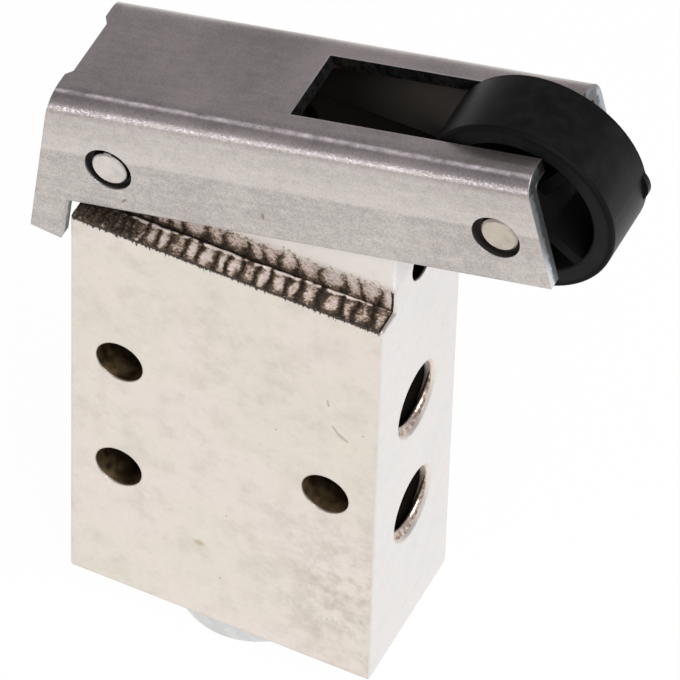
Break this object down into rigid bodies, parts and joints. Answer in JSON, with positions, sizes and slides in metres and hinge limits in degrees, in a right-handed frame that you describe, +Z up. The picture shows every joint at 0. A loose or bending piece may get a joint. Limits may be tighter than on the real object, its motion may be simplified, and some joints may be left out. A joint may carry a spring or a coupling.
{
  "type": "roller lever air valve",
  "caption": "Small mechanical air valve: plated block with threaded ports and mounting holes, a bent sheet lever on a pivot pin and a spoked roller that presses a sprung plunger.",
  "frame": {"origin": "middle of the mounting-hole pattern on the mounting face: halfway up the pair of holes, on the plunger's axis along the block", "axes": "+X from the lever's pivot towards its roller, +Y out of the mounting face, +Z up along the plunger"},
  "size_m": [0.0383, 0.0115, 0.0536],
  "materials": {
    "nickel_block": "satin warm nickel plate over a machined block",
    "nickel_plug": "bright plate",
    "lever_sheet": "rolled sheet with fine grain",
    "pin_steel": "turned",
    "roller_plastic": "moulded black",
    "brass": "turned",
    "rubber": "black nitrile",
    "spring_steel": "drawn wire"
  },
  "bodies": {
    "block": {"valve_body": "nickel_block", "end_plug": "nickel_plug", "end_plug_seal": "rubber", "supply_sleeve": "brass", "valve_seat": "brass", "valve_seat_seal": "rubber", "poppet_spring": "spring_steel", "return_spring": "spring_steel", "guide_bush": "brass", "guide_seal": "rubber", "retaining_ring": "spring_steel", "pivot_pin": "pin_steel"},
    "lever_arm": {"lever": "lever_sheet", "roller_pin": "pin_steel"},
    "roller_wheel": {"roller": "roller_plastic"},
    "plunger_unit": {"plunger": "pin_steel", "plunger_seal": "rubber", "plunger_clip": "spring_steel"},
    "poppet_unit": {"poppet": "brass", "poppet_seal": "rubber"}
  },
  "joints": [
    {"name": "lever_pivot", "type": "hinge", "parent": "block", "child": "lever_arm", "pos_m": [-0.0084, -0.00575, 0.0216], "axis": [0, 1, 0], "range_deg": [0, 15], "stiffness_Nm_per_rad": 0.14, "springref_deg": -19.25},
    {"name": "roller_spin", "type": "hinge", "parent": "lever_arm", "child": "roller_wheel", "pos_m": [0.01786, -0.00575, 0.02871], "axis": [0, 1, 0], "continuous": true},
    {"name": "plunger_slide", "type": "slide", "parent": "block", "child": "plunger_unit", "axis": [0, 0, 1], "range_m": [-0.00245, 0], "deforming": ["return_spring"]},
    {"name": "poppet_slide", "type": "slide", "parent": "block", "child": "poppet_unit", "axis": [0, 0, 1], "range_m": [-0.00125, 0], "deforming": ["poppet_spring"]}
  ],
  "couplings": [
    {"joint": "plunger_slide", "follows": "lever_pivot", "m_per_rad": -0.0092},
    {"joint": "poppet_slide", "follows": "lever_pivot", "m_per_rad": -0.0046}
  ]
}
